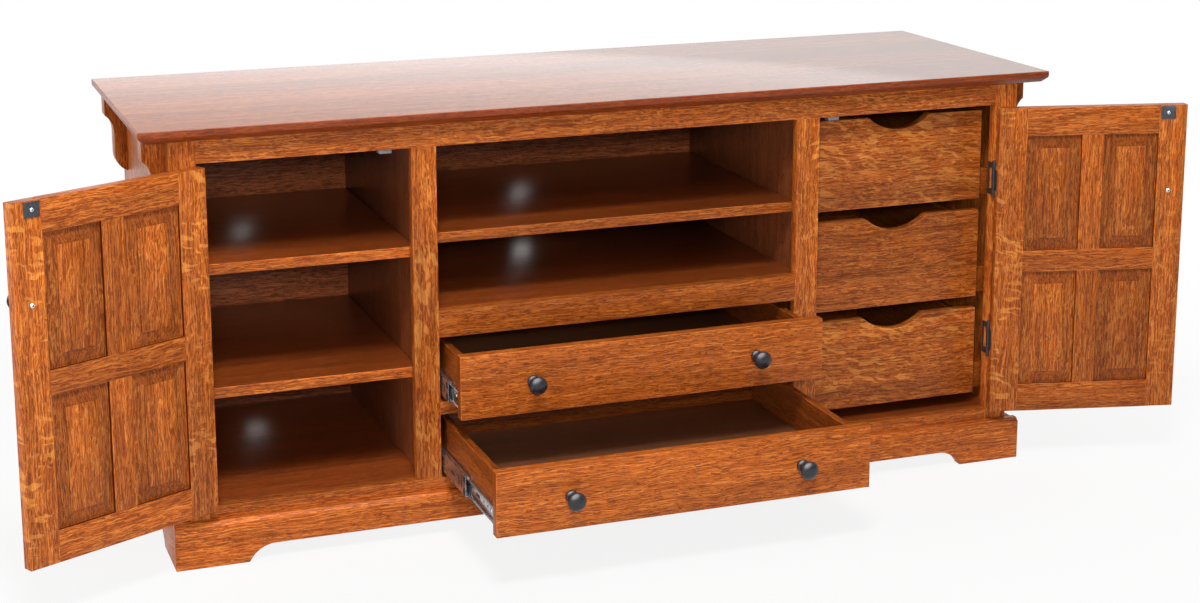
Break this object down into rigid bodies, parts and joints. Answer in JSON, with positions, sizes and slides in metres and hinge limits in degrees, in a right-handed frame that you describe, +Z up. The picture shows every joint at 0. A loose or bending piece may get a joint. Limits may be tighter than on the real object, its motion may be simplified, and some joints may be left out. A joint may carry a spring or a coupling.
{
  "type": "tv stand",
  "caption": "Wide stained-oak television stand with a moulded top, corbels, arched base, open shelves, panelled side doors, wide drawers and inner drawers on telescoping slides.",
  "frame": {"origin": "on the floor, at mid-width under the back face of the case", "axes": "+X to the right seen from the front, +Y to the back, +Z up"},
  "size_m": [2.1833, 0.893, 0.762],
  "materials": {
    "oak": "satin lacquer",
    "oak_inside": "satin lacquer",
    "drawer_wood": "satin lacquer",
    "knob_metal": "satin black",
    "hinge_metal": "satin black",
    "plate_steel": "dull",
    "slide_steel": "zinc plated",
    "pin_steel": "nickel plated",
    "catch_plastic": "matte"
  },
  "bodies": {
    "case": {"top_panel": "oak", "side_panels": "oak", "bottom_panel": "oak_inside", "partitions": "oak_inside", "back_panel": "oak_inside", "fixed_shelf": "oak", "end_stiles": "oak", "top_rail": "oak", "bottom_rail": "oak", "mullions": "oak", "middle_rails": "oak", "left_shelves": "oak", "middle_shelf": "oak", "shelf_supports": "pin_steel", "base_front": "oak", "base_sides": "oak", "base_back": "oak", "corbels": "oak", "magnetic_catches": "catch_plastic", "hinge_frame_leaves": "hinge_metal", "slide_outer_members": "slide_steel", "slide_spacers": "drawer_wood"},
    "left_door": {"left_door_stiles": "oak", "left_door_rails": "oak", "left_door_bars": "oak", "left_door_panels": "oak", "left_door_hardware": "hinge_metal", "left_door_strike_plate": "plate_steel"},
    "right_door": {"right_door_stiles": "oak", "right_door_rails": "oak", "right_door_bars": "oak", "right_door_panels": "oak", "right_door_hardware": "hinge_metal", "right_door_strike_plate": "plate_steel"},
    "upper_drawer": {"upper_drawer_front": "oak", "upper_drawer_box": "drawer_wood", "upper_drawer_slide_inner": "slide_steel", "upper_drawer_knobs": "knob_metal"},
    "upper_drawer_slides": {"upper_drawer_slide_middle": "slide_steel"},
    "lower_drawer": {"lower_drawer_front": "oak", "lower_drawer_box": "drawer_wood", "lower_drawer_slide_inner": "slide_steel", "lower_drawer_knobs": "knob_metal"},
    "lower_drawer_slides": {"lower_drawer_slide_middle": "slide_steel"},
    "inner_drawer_1": {"inner_drawer_1_front": "oak", "inner_drawer_1_box": "drawer_wood", "inner_drawer_1_slide_inner": "slide_steel"},
    "inner_drawer_1_slides": {"inner_drawer_1_slide_middle": "slide_steel"},
    "inner_drawer_2": {"inner_drawer_2_front": "oak", "inner_drawer_2_box": "drawer_wood", "inner_drawer_2_slide_inner": "slide_steel"},
    "inner_drawer_2_slides": {"inner_drawer_2_slide_middle": "slide_steel"},
    "inner_drawer_3": {"inner_drawer_3_front": "oak", "inner_drawer_3_box": "drawer_wood", "inner_drawer_3_slide_inner": "slide_steel"},
    "inner_drawer_3_slides": {"inner_drawer_3_slide_middle": "slide_steel"}
  },
  "joints": [
    {"name": "left_door_hinge", "type": "hinge", "parent": "case", "child": "left_door", "pos_m": [-0.753, -0.5444, 0.4], "axis": [0, 0, -1], "range_deg": [-154, 21]},
    {"name": "right_door_hinge", "type": "hinge", "parent": "case", "child": "right_door", "pos_m": [0.753, -0.5444, 0.4], "axis": [0, 0, 1], "range_deg": [-166, 9]},
    {"name": "upper_drawer_slide", "type": "slide", "parent": "case", "child": "upper_drawer", "axis": [0, -1, 0], "range_m": [-0.119, 0.321]},
    {"name": "upper_drawer_slide_stage", "type": "slide", "parent": "case", "child": "upper_drawer_slides", "axis": [0, -1, 0], "range_m": [-0.0595, 0.1605]},
    {"name": "lower_drawer_slide", "type": "slide", "parent": "case", "child": "lower_drawer", "axis": [0, -1, 0], "range_m": [-0.311, 0.129]},
    {"name": "lower_drawer_slide_stage", "type": "slide", "parent": "case", "child": "lower_drawer_slides", "axis": [0, -1, 0], "range_m": [-0.1555, 0.0645]},
    {"name": "inner_drawer_1_slide", "type": "slide", "parent": "case", "child": "inner_drawer_1", "axis": [0, -1, 0], "range_m": [0, 0.44]},
    {"name": "inner_drawer_1_slide_stage", "type": "slide", "parent": "case", "child": "inner_drawer_1_slides", "axis": [0, -1, 0], "range_m": [0, 0.22]},
    {"name": "inner_drawer_2_slide", "type": "slide", "parent": "case", "child": "inner_drawer_2", "axis": [0, -1, 0], "range_m": [0, 0.44]},
    {"name": "inner_drawer_2_slide_stage", "type": "slide", "parent": "case", "child": "inner_drawer_2_slides", "axis": [0, -1, 0], "range_m": [0, 0.22]},
    {"name": "inner_drawer_3_slide", "type": "slide", "parent": "case", "child": "inner_drawer_3", "axis": [0, -1, 0], "range_m": [0, 0.44]},
    {"name": "inner_drawer_3_slide_stage", "type": "slide", "parent": "case", "child": "inner_drawer_3_slides", "axis": [0, -1, 0], "range_m": [0, 0.22]}
  ],
  "couplings": [
    {"joint": "upper_drawer_slide_stage", "follows": "upper_drawer_slide", "ratio": 0.5},
    {"joint": "lower_drawer_slide_stage", "follows": "lower_drawer_slide", "ratio": 0.5},
    {"joint": "inner_drawer_1_slide_stage", "follows": "inner_drawer_1_slide", "ratio": 0.5},
    {"joint": "inner_drawer_2_slide_stage", "follows": "inner_drawer_2_slide", "ratio": 0.5},
    {"joint": "inner_drawer_3_slide_stage", "follows": "inner_drawer_3_slide", "ratio": 0.5}
  ]
}
